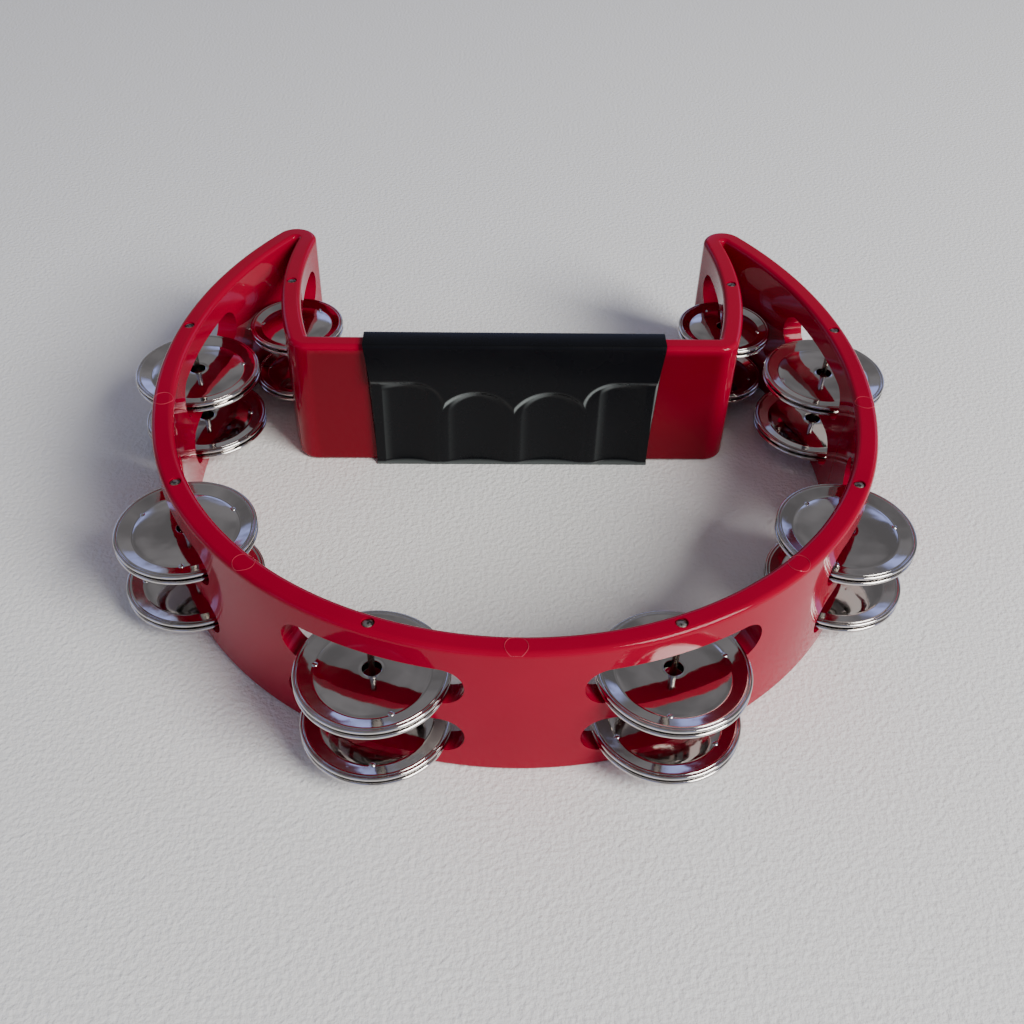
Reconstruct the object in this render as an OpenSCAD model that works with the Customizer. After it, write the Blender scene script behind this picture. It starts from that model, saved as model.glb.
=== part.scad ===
// Crescent-shaped hand tambourine: a red moulded frame whose two rear horns fold back to a
// straight handle, a black finger-grooved grip, eight nail pins and sixteen pairs of jingles.
// Sizes are in millimetres. +Z is up off the table, -Y is the round front, +X is the right.

/* [Frame] */
// Outer radius of the round front of the frame
front_r = 121; // [100:0.5:140]
// Half of the angle covered by the round front
front_half_angle = 75; // [65:1:80]
// Outer radius of the flatter left and right sides
side_r = 160; // [145:0.5:180]
// Angle covered by each flatter side
side_angle = 50.2; // [45:0.1:54]
// Outer radius of the rounded end of each horn
tip_r = 8.2; // [7.6:0.1:10]
// Thickness of the wall all round
wall = 7.2; // [6.4:0.1:8]
// Height of the frame
frame_h = 52; // [48:0.5:60]
// Rounding along the long edges of the wall
edge_r = 1.8; // [1:0.1:2.4]

/* [Handle] */
// Radius of the bowed inner arm, on the face toward the band
arm_r = 152; // [130:0.5:175]
// Angle covered by the inner arm
arm_angle = 26.9; // [24:0.1:29]
// Outer radius of the bend between arm and handle
corner_r = 7.9; // [7.6:0.1:14]
// Angle of the bend between arm and handle
corner_angle = 73; // [71:0.1:75]

/* [Slots] */
// Height of each jingle slot
slot_h = 14.4; // [13:0.1:15.2]
// Solid height below the lower row of slots
bottom_bar_h = 7.3; // [6:0.1:9]
// Solid height between the two rows of slots
bridge_h = 7.2; // [5:0.1:8]
// Room between a band jingle and the end of its slot
slot_end_gap = 5.7; // [4:0.1:7]
// Room between an arm jingle and the end of its slot
arm_slot_end_gap = 8.1; // [5:0.1:9]

/* [Pins] */
// Distance between neighbouring pins along the outer face of the band
pin_spacing = 90; // [86:0.5:94]
// How far behind the front arc centre the arm pins stand
arm_pin_y = 65.2; // [62:0.2:67]
// Shank diameter of a nail pin
pin_d = 2; // [1.6:0.1:2.4]
// Head diameter of a nail pin
pin_head_d = 3; // [2.6:0.1:3.4]
// Thickness of a nail head
pin_head_h = 0.7; // [0.5:0.1:1]
// Diameter of the recess that a nail head sits in
pin_recess_d = 3.8; // [3.6:0.1:4.6]
// Depth of the recess that a nail head sits in
pin_recess_depth = 0.9; // [0.8:0.1:1.4]
// Height of the blind end of the pin holes above the base
pin_floor = 2.5; // [1.5:0.1:4]
// Length of the nail point
pin_point = 2.4; // [1.5:0.1:3]

/* [Jingles] */
// Diameter of a band jingle
jingle_d = 44.8; // [40:0.2:47]
// Diameter of a jingle on the inner arms
arm_jingle_d = 35.8; // [32:0.2:37]
// Diameter of the hole in the middle of a jingle
jingle_hole_d = 5.7; // [4.5:0.1:7]
// Thickness of the jingle sheet
sheet_t = 0.6; // [0.5:0.05:0.8]
// Height of the domed middle above the crease
dome_h = 1.1; // [0.8:0.05:1.4]
// Radius of the crease as a share of the jingle radius
crease_at = 0.745; // [0.65:0.005:0.8]
// Radius of the rolled bead around the rim
bead_r = 0.75; // [0.6:0.05:0.9]
// Room between the two jingles of a pair
pair_gap = 0.36; // [0.32:0.01:0.6]
// Room between the lower jingle of a pair and the slot under it
rest_gap = 0.36; // [0.32:0.01:0.6]

/* [Grip] */
// Length of the grip along its body
grip_l = 101.2; // [90:0.2:110]
// How far the grip flares out at each end of its top
grip_flare = 3.3; // [0:0.1:5]
// Height at which the grip starts to flare
flare_z = 36; // [30:0.5:42]
// Height at which the flare reaches its full length
flare_full_z = 49; // [46:0.5:51]
// Rubber in front of the handle bar
grip_front = 2.7; // [2.5:0.1:4]
// Rubber behind the handle bar
grip_back = 1.4; // [1:0.1:3]
// Rubber above the handle bar
grip_top = 1.4; // [1:0.1:3]
// Rubber under the handle bar, let into it so that the base stays flat
grip_under = 2; // [1.9:0.1:3]
// Rounding along the edges of the grip
grip_edge_r = 2.5; // [1.5:0.1:3.5]
// How far the finger side steps back below the hood
hood_step = 0.7; // [0.4:0.1:0.9]
// Depth of a finger groove below that step
groove_depth = 1.2; // [0.6:0.1:1.3]
// Distance from the middle to the centre of an inner finger groove
inner_finger_x = 13.6; // [12:0.1:15]
// Radius of the arch above an inner finger
inner_arch_r = 14.1; // [13.7:0.1:16]
// Top of the arch above an inner finger
inner_arch_top = 32.5; // [28:0.5:36]
// Distance from the middle to the near edge of an outer finger arch
outer_arch_x = 26.9; // [25:0.1:28]
// Corner radius of the arch above an outer finger
outer_arch_r = 10; // [6:0.1:12]
// Top of the arch above an outer finger
outer_arch_top = 36.8; // [32:0.2:38]
// Half width of an inner finger groove
inner_groove_w = 10.3; // [8:0.1:11]
// Distance from the middle to the centre of an outer finger groove
outer_finger_x = 39.8; // [38:0.1:41]
// Half width of an outer finger groove
outer_groove_w = 8.4; // [6:0.1:9]
// Room left between the top of a groove and its arch
groove_inset = 2; // [1:0.1:4]

/* [Mould marks] */
// Diameter of the round ejector marks on the rim
mark_d = 6.7; // [5:0.1:7]
// How far an ejector mark stands above the rim
mark_h = 0.15; // [0.1:0.05:0.3]

/* [Hidden] */
$fn = 96;
over = 1;

// The wall is a run of arcs that meet tangent: front, side, horn tip, arm and corner.
// Each arc has its centre on the line through the centre and the end of the arc before it.
side_start = front_half_angle - 90;
tip_start = side_start + side_angle;
arm_start = corner_angle - 90;
arm_end = arm_start + arm_angle;
side_x = (front_r - side_r) * cos(side_start);
side_y = (front_r - side_r) * sin(side_start);
tip_x = side_x + (side_r - tip_r) * cos(tip_start);
tip_y = side_y + (side_r - tip_r) * sin(tip_start);
arm_x = tip_x - (arm_r - wall + tip_r) * cos(arm_end);
arm_y = tip_y - (arm_r - wall + tip_r) * sin(arm_end);
corner_x = arm_x + (arm_r - corner_r) * cos(arm_start);
corner_y = arm_y + (arm_r - corner_r) * sin(arm_start);
handle_y = corner_y - corner_r;
arm_pin_angle = asin((arm_pin_y - arm_y) / (arm_r - wall / 2));
front_len = front_r * front_half_angle * PI / 180;

jingle_r = jingle_d / 2;
arm_jingle_r = arm_jingle_d / 2;
band_slot_l = jingle_d + 2 * slot_end_gap;
arm_slot_l = arm_jingle_d + 2 * arm_slot_end_gap;

SIDES = [-1, 1];
FRAME_RED = [0.72, 0.02, 0.1];
// A station is its name, the side it is on, the wall centre it turns about, its wall radius,
// its angle from +X, its jingle radius and its slot length.
function band_station(name, side, along) =
    along < front_len
    ? [name, side, [0, 0], front_r, along / front_r * 180 / PI - 90, jingle_r, band_slot_l]
    : [name, side, [side_x, side_y], side_r,
       front_half_angle + (along - front_len) / side_r * 180 / PI - 90, jingle_r, band_slot_l];

function arm_station(name, side) =
    [name, side, [arm_x, arm_y], arm_r, arm_pin_angle, arm_jingle_r, arm_slot_l];

STATIONS = [
    band_station("front_left", -1, pin_spacing * 0.5),
    band_station("front_right", 1, pin_spacing * 0.5),
    band_station("side_left", -1, pin_spacing * 1.5),
    band_station("side_right", 1, pin_spacing * 1.5),
    band_station("rear_left", -1, pin_spacing * 2.5),
    band_station("rear_right", 1, pin_spacing * 2.5),
    arm_station("arm_left", -1),
    arm_station("arm_right", 1)
];
// The ejector marks stand midway between the band pins, and the front band ends midway between
// its last slots and the next marks.
FRONT_MARKS = [for (side = SIDES, step = [0, 1])
    if (side > 0 || step > 0) band_station("mark", side, pin_spacing * step)];
SIDE_MARK = band_station("mark", 1, pin_spacing * 2);
band_end = (pin_spacing * 3.5 + (band_slot_l - mark_d) / 2) / 2;
band_end_angle = round((band_end - front_len) / side_r * 1800 / PI) / 10;

// A row is its name and the height of its slot floors.
ROWS = [["low", bottom_bar_h], ["high", bottom_bar_h + slot_h + bridge_h]];
LAYERS = ["bottom", "top"];

front_reach = jingle_r - (front_r - wall / 2) * sin(STATIONS[0][4]);
centre_y = (tip_y + tip_r - front_reach) / 2;

grip_depth = grip_front + wall + grip_back;
grip_h = frame_h + grip_top;
grip_half = grip_l / 2;

module rounded_box(w, h, r) {
    translate([r, 0]) square([w - 2 * r, h]);
    translate([0, r]) square([w, h - 2 * r]);
    for (x = [r, w - r]) for (y = [r, h - r]) translate([x, y]) circle(r = r);
}

// Moves its children in a coarse and a fine step: an exported move keeps six digits, and the
// arcs must meet more closely than that to become one solid.
module placed(x, y) {
    coarse_x = round(x * 100) / 100;
    coarse_y = round(y * 100) / 100;
    translate([coarse_x, coarse_y, 0])
        translate([x - coarse_x, y - coarse_y, 0])
            children();
}

module wall_arc(x, y, outer, from, sweep) {
    placed(x, y)
        rotate_extrude(angle = sweep, start = from)
            translate([outer - wall, 0])
                rounded_box(wall, frame_h, edge_r);
}

// Half of the handle bar, from the corner to just past the middle.
module half_bar() {
    placed(corner_x, handle_y)
        rotate([90, 0, -90])
            mirror([1, 0, 0])
                linear_extrude(height = corner_x + over)
                    rounded_box(wall, frame_h, edge_r);
}

// Draws its children for the right side, or mirrored for the left.
module on_side(side) {
    mirror([side < 0 ? 1 : 0, 0, 0])
        children();
}

module bar() {
    for (side = SIDES) on_side(side) half_bar();
}

// Draws its children at a station, with +X pointing out of the wall and the pin on the Z axis.
module at_station(s) {
    on_side(s[1])
        translate([s[2][0], s[2][1], 0])
            rotate([0, 0, s[4]])
                translate([s[3] - wall / 2, 0, 0])
                    children();
}

module slot_cut(s, floor_z) {
    half = s[6] / 2;
    inner = s[3] - wall;
    sag = inner - sqrt(pow(inner, 2) - pow(half, 2));
    inward = wall / 2 + sag + over;
    straight = half - slot_h / 2;
    translate([-inward, 0, floor_z + slot_h / 2])
        rotate([90, 0, 90])
            linear_extrude(height = inward + wall / 2 + over) {
                square([2 * straight, slot_h], center = true);
                for (y = [-straight, straight]) translate([y, 0]) circle(d = slot_h);
            }
}

module ejector_mark() {
    translate([0, 0, frame_h - edge_r])
        cylinder(d = mark_d, h = edge_r + mark_h);
}

module pin_shank(top) {
    translate([0, 0, pin_floor + pin_point])
        cylinder(d = pin_d, h = top - pin_floor - pin_point);
    translate([0, 0, pin_floor])
        cylinder(d1 = 0, d2 = pin_d, h = pin_point);
}

module grip_notch() {
    translate([-grip_half, handle_y - over, -over])
        cube([grip_l, wall + 2 * over, grip_under + over]);
}

// What the stations take out of the wall: their slots, and the bore and head recess of the pin.
module station_cuts(stations) {
    for (s = stations) at_station(s) {
        for (row = ROWS) slot_cut(s, row[1]);
        pin_shank(frame_h);
        translate([0, 0, frame_h - pin_recess_depth])
            cylinder(d = pin_recess_d, h = pin_recess_depth + over);
    }
}

// The moulded frame is one red moulding, drawn in six lengths that meet face to face: a front
// band, two side bands with the horn tips, two arms and a handle bar.
module front_band() {
    color(FRAME_RED)
    difference() {
        union() {
            wall_arc(0, 0, front_r, -90 - front_half_angle, 2 * front_half_angle);
            for (side = SIDES) on_side(side)
                wall_arc(side_x, side_y, side_r, side_start, band_end_angle);
            for (m = FRONT_MARKS) at_station(m) ejector_mark();
        }
        station_cuts([for (i = [0:3]) STATIONS[i]]);
    }
}

module side_band(side) {
    color(FRAME_RED)
    on_side(side)
        difference() {
            union() {
                wall_arc(side_x, side_y, side_r, side_start + band_end_angle,
                         side_angle - band_end_angle);
                wall_arc(tip_x, tip_y, tip_r, tip_start, 180 + arm_end - tip_start);
                at_station(SIDE_MARK) ejector_mark();
            }
            station_cuts([STATIONS[5]]);
        }
}

module arm(side) {
    color(FRAME_RED)
    on_side(side)
        difference() {
            union() {
                wall_arc(arm_x, arm_y, arm_r, arm_start, arm_angle);
                wall_arc(corner_x, corner_y, corner_r, -90, corner_angle);
            }
            station_cuts([STATIONS[7]]);
        }
}

module handle_bar() {
    color(FRAME_RED)
    difference() {
        bar();
        grip_notch();
    }
}

module grip_outline() {
    polygon([
        [-grip_half, 0], [grip_half, 0], [grip_half, flare_z],
        [grip_half + grip_flare, flare_full_z], [grip_half + grip_flare, grip_h],
        [-grip_half - grip_flare, grip_h], [-grip_half - grip_flare, flare_full_z],
        [-grip_half, flare_z]
    ]);
}

// The finger side below the hood, seen from the front.
module finger_outline() {
    translate([-grip_half - over, -over])
        square([grip_l + 2 * over, inner_arch_top - inner_arch_r + over]);
    for (side = [-1, 1]) {
        translate([side * inner_finger_x, inner_arch_top - inner_arch_r])
            circle(r = inner_arch_r);
        mirror([side < 0 ? 1 : 0, 0]) {
            translate([outer_arch_x, 0])
                square([grip_half + over - outer_arch_x, outer_arch_top - outer_arch_r]);
            translate([outer_arch_x + outer_arch_r, 0])
                square([grip_half + over - outer_arch_x - outer_arch_r, outer_arch_top]);
            translate([outer_arch_x + outer_arch_r, outer_arch_top - outer_arch_r])
                circle(r = outer_arch_r);
        }
    }
}

// One finger groove: an upright cylinder that dips into the rubber. It ends under a rounded
// top that is a little wider than the groove.
module groove(half_w, top) {
    r = (pow(half_w, 2) + pow(groove_depth, 2)) / (2 * groove_depth);
    top_r = half_w + over;
    intersection() {
        translate([0, groove_depth - r, -over])
            cylinder(r = r, h = grip_h, $fn = 180);
        rotate([90, 0, 0])
            linear_extrude(height = 4 * grip_front, center = true) {
                translate([-top_r, -over])
                    square([2 * top_r, top - top_r + over]);
                translate([0, top - top_r]) circle(r = top_r);
            }
    }
}

module grip() {
    color([0.05, 0.06, 0.06])
    difference() {
        intersection() {
            translate([-grip_half - 2 * grip_flare, handle_y - grip_front, 0])
                rotate([90, 0, 90])
                    linear_extrude(height = grip_l + 4 * grip_flare)
                        rounded_box(grip_depth, grip_h, grip_edge_r);
            translate([0, handle_y + 2 * wall, 0])
                rotate([90, 0, 0])
                    linear_extrude(height = 4 * wall)
                        grip_outline();
        }
        difference() {
            bar();
            grip_notch();
        }
        translate([0, handle_y - grip_front + hood_step, 0])
            rotate([90, 0, 0])
                linear_extrude(height = 2 * grip_front)
                    finger_outline();
        for (side = [-1, 1]) {
            translate([side * inner_finger_x, handle_y - grip_front + hood_step, 0])
                groove(inner_groove_w, inner_arch_top - groove_inset);
            translate([side * outer_finger_x, handle_y - grip_front + hood_step, 0])
                groove(outer_groove_w, outer_arch_top - groove_inset);
        }
    }
}

module pin(s) {
    head_z = frame_h - pin_recess_depth;
    color([0.62, 0.6, 0.58])
    at_station(s) {
        pin_shank(head_z);
        translate([0, 0, head_z])
            cylinder(d = pin_head_d, h = pin_head_h);
    }
}

// A jingle lies with the underside of its crease and of its rim bead at height 0.
module jingle(r) {
    crease = r * crease_at;
    dome_r = (pow(crease, 2) + pow(dome_h, 2)) / (2 * dome_h);
    lip = sqrt(pow(dome_r + sheet_t, 2) - pow(crease, 2)) - dome_r + dome_h;
    color([0.8, 0.8, 0.82])
    rotate_extrude() {
        intersection() {
            translate([0, dome_h - dome_r])
                difference() {
                    circle(r = dome_r + sheet_t, $fn = 720);
                    circle(r = dome_r, $fn = 720);
                }
            translate([jingle_hole_d / 2, -over])
                square([crease - jingle_hole_d / 2, dome_h + sheet_t + 2 * over]);
        }
        polygon([
            [crease, 0], [r - bead_r, bead_r - sheet_t / 2],
            [r - bead_r, bead_r + sheet_t / 2], [crease, lip]
        ]);
        translate([r - bead_r, bead_r]) circle(r = bead_r);
    }
}

module placed_jingle(s, floor_z, layer) {
    middle = floor_z + rest_gap + dome_h + sheet_t + pair_gap / 2;
    at_station(s)
        translate([0, 0, middle])
            mirror([0, 0, layer == "bottom" ? 1 : 0])
                translate([0, 0, pair_gap / 2])
                    jingle(s[5]);
}

translate([0, -centre_y, 0]) {
    front_band();
    side_band(-1);  // side_band_left
    side_band(1);  // side_band_right
    arm(-1);  // arm_left
    arm(1);  // arm_right
    handle_bar();
    grip();
    for (s = STATIONS) {
        pin(s);
        for (row = ROWS) for (layer = LAYERS)
            placed_jingle(s, row[1], layer);
    }
}
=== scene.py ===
import math
import bpy
import bmesh
from mathutils import Matrix, Vector
from mathutils.bvhtree import BVHTree


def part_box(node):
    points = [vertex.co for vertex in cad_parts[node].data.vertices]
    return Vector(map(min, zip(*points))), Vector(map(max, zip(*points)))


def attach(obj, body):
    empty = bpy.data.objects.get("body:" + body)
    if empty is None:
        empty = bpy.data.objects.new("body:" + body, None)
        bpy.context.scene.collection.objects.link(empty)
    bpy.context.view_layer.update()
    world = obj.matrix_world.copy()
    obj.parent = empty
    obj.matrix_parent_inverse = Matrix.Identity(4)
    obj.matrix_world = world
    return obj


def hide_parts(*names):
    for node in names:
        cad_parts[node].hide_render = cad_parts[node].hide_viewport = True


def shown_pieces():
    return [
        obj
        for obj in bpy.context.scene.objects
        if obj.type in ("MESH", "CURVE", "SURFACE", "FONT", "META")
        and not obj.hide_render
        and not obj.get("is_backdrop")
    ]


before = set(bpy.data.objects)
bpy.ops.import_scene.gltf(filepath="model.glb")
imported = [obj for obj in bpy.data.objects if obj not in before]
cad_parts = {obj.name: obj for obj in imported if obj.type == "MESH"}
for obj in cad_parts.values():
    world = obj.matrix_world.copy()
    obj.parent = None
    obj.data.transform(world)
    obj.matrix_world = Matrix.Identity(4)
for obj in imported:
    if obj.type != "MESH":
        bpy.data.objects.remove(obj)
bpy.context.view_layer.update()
print("loaded", len(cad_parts), "nodes")

mm = 0.001

photo = {"width": 1024, "height": 1024}

cameraSetup = {
    "place": (-12.9, -309.6, 287.2),  # mm in the part's frame
    "yaw": -2.25,  # degrees, left of straight ahead is positive
    "pitch": 42.38,  # degrees looking down
    "roll": 1.69,
    "lens": 40.99,
    "sensor": 36.0,
    "shift": (0.0, 0.0),
}

# x and y in the photo's pixels; a side of the object has only one of them. objectBottom is where the level
# jingle shows: the photo's lowest one is tilted and reaches y 799.5
imagePoints = {
    "objectLeft": (109.2, None),
    "objectRight": (921.2, None),
    "objectTop": (None, 227.5),
    "objectBottom": (None, 786.1),
    "pinFrontLeft": (367.5, 621.0),
    "pinFrontRight": (682.8, 621.0),
    "pinSideLeft": (174.3, 481.7),
    "pinSideRight": (860.7, 484.7),
    "pinRearLeft": (186.6, 323.8),
    "pinRearRight": (838.0, 328.0),
    "pinArmLeft": (290.0, 280.0),
    "pinArmRight": (733.0, 284.0),
    "gripTopLeft": (364.0, 333.0),
    "gripTopRight": (666.0, 337.0),
    "pipFrontLeft": (390.4, 712.2),
    "pipFrontRight": (670.4, 713.8),
    "pipSideLeft": (141.0, 514.4),
    "markFront": (516.5, 646.0),
}


def makeCamera(setup):
    yaw, pitch, roll = (math.radians(setup[k]) for k in ("yaw", "pitch", "roll"))
    ahead = Vector((-math.sin(yaw) * math.cos(pitch), math.cos(yaw) * math.cos(pitch), -math.sin(pitch)))
    right = Vector((math.cos(yaw), math.sin(yaw), 0))
    up = right.cross(ahead)
    rolledRight = right * math.cos(roll) + up * math.sin(roll)
    rolledUp = up * math.cos(roll) - right * math.sin(roll)
    turn = Matrix((rolledRight, rolledUp, -ahead)).transposed()
    data = bpy.data.cameras.new("camera")
    data.lens = setup["lens"]
    data.sensor_width = setup["sensor"]
    data.sensor_fit = "AUTO"
    data.shift_x, data.shift_y = setup["shift"]
    data.dof.use_dof = False
    data.clip_end = 20
    camera = bpy.data.objects.new("camera", data)
    bpy.context.scene.collection.objects.link(camera)
    camera.matrix_world = Matrix.Translation(Vector(setup["place"]) * mm) @ turn.to_4x4()
    bpy.context.scene.camera = camera
    return camera


camera = makeCamera(cameraSetup)
longSide = max(photo["width"], photo["height"])
pixelFocal = longSide * cameraSetup["lens"] / cameraSetup["sensor"]


def photoRay(x, y):
    shiftX, shiftY = cameraSetup["shift"]
    local = Vector((x - photo["width"] / 2 + shiftX * longSide,
                    photo["height"] / 2 - y + shiftY * longSide,
                    -pixelFocal))
    return camera.matrix_world.translation.copy(), (camera.matrix_world.to_3x3() @ local).normalized()


# where a point of the photo lies on what the tree holds; a miss takes the place nearest the ray
def onSurface(tree, x, y):
    eye, way = photoRay(x, y)
    hit = tree.ray_cast(eye, way)
    if hit[0] is not None:
        return hit[0]
    best, bestGap = None, 1e9
    start, stride, strides = 0.2, 0.0025, 160  # metres along the ray
    for step in range(strides):
        along = eye + way * (start + stride * step)
        near = tree.find_nearest(along)
        if near[0] is not None and near[3] < bestGap:
            best, bestGap = near[0], near[3]
    return best


bpy.context.view_layer.update()
toCamera = camera.matrix_world.inverted()


def inPhoto(point):
    local = toCamera @ Vector(point)
    shiftX, shiftY = cameraSetup["shift"]
    return (photo["width"] / 2 - shiftX * longSide - pixelFocal * local.x / local.z,
            photo["height"] / 2 + shiftY * longSide + pixelFocal * local.y / local.z)


print("camera ready")


def newObject(name, bm, smoothAngle=None):
    mesh = bpy.data.meshes.new(name)
    bm.to_mesh(mesh)
    bm.free()
    for polygon in mesh.polygons:
        polygon.use_smooth = True
    if smoothAngle is not None:
        mesh.set_sharp_from_angle(angle=math.radians(smoothAngle))
    made = bpy.data.objects.new(name, mesh)
    bpy.context.scene.collection.objects.link(made)
    return made


# the object's mesh becomes what its modifiers make of it
def applyModifiers(made):
    bpy.context.view_layer.update()
    depsgraph = bpy.context.evaluated_depsgraph_get()
    finished = bpy.data.meshes.new_from_object(made.evaluated_get(depsgraph), depsgraph=depsgraph)
    made.modifiers.clear()
    made.data = finished


def cutWith(made, cutter, how="DIFFERENCE"):
    modifier = made.modifiers.new("cut", "BOOLEAN")
    modifier.operation = how
    modifier.solver = "EXACT"
    modifier.object = cutter
    applyModifiers(made)
    bpy.data.objects.remove(cutter)


def finishPiece(made, material, body, slotName, *nodes):
    made.data.materials.clear()
    made.data.materials.append(material)
    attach(made, body)
    if nodes:
        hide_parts(*nodes)
    return made


def turnAbout(bm, geom, centre, degrees, steps):
    spun = bmesh.ops.spin(bm, geom=geom, cent=(centre[0], centre[1], 0), axis=(0, 0, 1), dvec=(0, 0, 0),
                          angle=math.radians(degrees), steps=steps, use_merge=False, use_duplicate=False)
    return spun["geom_last"]


def linearColour(code):
    parts = [int(code[i:i + 2], 16) / 255 for i in (1, 3, 5)]
    return tuple(c / 12.92 if c <= 0.04045 else ((c + 0.055) / 1.055) ** 2.4 for c in parts) + (1.0,)


# adds a node, sets its values by attribute or by input name, and links its inputs
def addNode(tree, kind, settings=None, values=None, links=None):
    node = tree.nodes.new(kind)
    for name, value in (settings or {}).items():
        setattr(node, name, value)
    for name, value in (values or {}).items():
        node.inputs[name].default_value = value
    for name, source in (links or {}).items():
        tree.links.new(source, node.inputs[name])
    return node


def newMaterial(name):
    material = bpy.data.materials.new(name)
    material.use_nodes = True
    tree = material.node_tree
    tree.nodes.clear()
    place = addNode(tree, "ShaderNodeTexCoord")
    return material, tree, place.outputs["Object"]


# the product of smooth ramps, each a source that rises from 0 at one value to 1 at another
def shareOf(tree, ramps):
    share = None
    for source, start, end in ramps:
        part = addNode(tree, "ShaderNodeMapRange", {"interpolation_type": "SMOOTHSTEP"},
                       {"From Min": start, "From Max": end}, {"Value": source}).outputs["Result"]
        share = part if share is None else addNode(tree, "ShaderNodeMath", {"operation": "MULTIPLY"},
                                                   links={0: share, 1: part}).outputs["Value"]
    return share


# glossy injection-moulded ABS: deep even red, sharp soft-edged reflections, faint waviness from cooling and
# a sparse scatter of handling scratches; a painted shade darkens the handle bar's front beside the grip
glossAbs = {
    "colour": "#9C0029",
    "deepColour": "#900024",
    "handleShadeColour": "#720018",  # painted shade: the darker red painted on the handle bar's front beside the grip
    # mm from the handle bar's box to where that painted shade starts and to where it is full
    "handleShadeEnds": (6.0, -2.0),
    "handleShadeFront": (-1.2, -0.1),
    "handleShadeTop": (-1.0, -4.0),
    "ior": 1.54,
    "specular": 0.15,
    "roughness": 0.07,
    "scuffRoughness": 0.32,
    "waveSize": 22.0,  # mm between sink waves
    "waveStrength": 0.35,
    "waveDeep": 0.0003,  # m
    "scratchSize": 1.6,  # mm, drawn coarser than real handling marks so that they show
}

# the same moulding in a paler red on the ejector pin's raised outline: a painted highlight standing for the
# glint along the line
ejectorGlintLook = {**glossAbs, "colour": "#BC4053", "deepColour": "#A82C40"}


def makeGlossAbs(name, look):
    material, tree, place = newMaterial(name)
    cloud = addNode(tree, "ShaderNodeTexNoise", values={"Scale": 1000 / 60, "Detail": 3.0, "Roughness": 0.5},
                    links={"Vector": place})
    colour = addNode(tree, "ShaderNodeMix", {"data_type": "RGBA"},
                     {"A": linearColour(look["colour"]), "B": linearColour(look["deepColour"])})
    cloudRange = addNode(tree, "ShaderNodeMapRange", values={"From Min": 0.4, "From Max": 0.7},
                         links={"Value": cloud.outputs["Fac"]})
    tree.links.new(cloudRange.outputs["Result"], colour.inputs["Factor"])
    low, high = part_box("handle_bar")  # its box tells where the painted shade lies
    axes = addNode(tree, "ShaderNodeSeparateXYZ", links={"Vector": place})
    aside = addNode(tree, "ShaderNodeMath", {"operation": "ABSOLUTE"}, links={0: axes.outputs["X"]})
    shadeReaches = ((aside.outputs["Value"], high.x, look["handleShadeEnds"]),
               (axes.outputs["Y"], low.y, look["handleShadeFront"]),
               (axes.outputs["Z"], high.z, look["handleShadeTop"]))
    # painted shade: a smooth mask over the handle bar's front beside the grip mixes in the darker red
    paintedHandleShade = shareOf(tree, [(source, edge + none * mm, edge + full * mm)
                          for source, edge, (none, full) in shadeReaches])
    shadedColour = addNode(tree, "ShaderNodeMix", {"data_type": "RGBA"},
                      {"B": linearColour(look["handleShadeColour"])},
                      {"Factor": paintedHandleShade, "A": colour.outputs["Result"]})
    stretch = addNode(tree, "ShaderNodeMapping",
                      values={"Scale": (1.0, 1.0, 3.5), "Rotation": (0.5, 0.3, 0.2)},
                      links={"Vector": place})
    scratch = addNode(tree, "ShaderNodeTexNoise",
                      values={"Scale": 1000 / look["scratchSize"], "Detail": 5.0, "Roughness": 0.65},
                      links={"Vector": stretch.outputs["Vector"]})
    scuff = addNode(tree, "ShaderNodeMapRange",
                    values={"From Min": 0.62, "From Max": 0.74, "To Min": look["roughness"],
                            "To Max": look["scuffRoughness"]},
                    links={"Value": scratch.outputs["Fac"]})
    wave = addNode(tree, "ShaderNodeTexNoise", values={"Scale": 1000 / look["waveSize"], "Detail": 1.0},
                   links={"Vector": place})
    sink = addNode(tree, "ShaderNodeBump",
                   values={"Strength": look["waveStrength"], "Distance": look["waveDeep"]},
                   links={"Height": wave.outputs["Fac"]})
    shader = addNode(tree, "ShaderNodeBsdfPrincipled",
                     values={"IOR": look["ior"], "Specular IOR Level": look["specular"]},
                     links={"Base Color": shadedColour.outputs["Result"], "Roughness": scuff.outputs["Result"],
                            "Normal": sink.outputs["Normal"]})
    addNode(tree, "ShaderNodeOutputMaterial", links={"Surface": shader.outputs["BSDF"]})
    return material


# moulded thermoplastic rubber: near black, a soft broad sheen and a fine even grain from the spark-eroded
# mould; pale grey painted highlights on the lip sides that face down and to the right, and along the foot's
# edge
softRubber = {
    "colour": "#0D0E11",
    "paintedHighlightColour": "#8A9290",
    "highlightSide": (0.6, -0.6, -0.53),  # the way the surfaces face that get the painted highlight, the lip sides under the hood's arches
    "rubSize": 18.0,  # mm between worn patches
    "ior": 1.5,
    "specular": 0.14,
    "roughness": 0.22,
    "footHighlightHigh": 1.2,  # mm, the band at the foot's edge that gets a painted highlight
    "grainSize": 0.5,  # mm, drawn coarser than the real grain so that it shows
    "grainStrength": 0.25,
    "grainDeep": 0.00006,  # m
}


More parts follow.
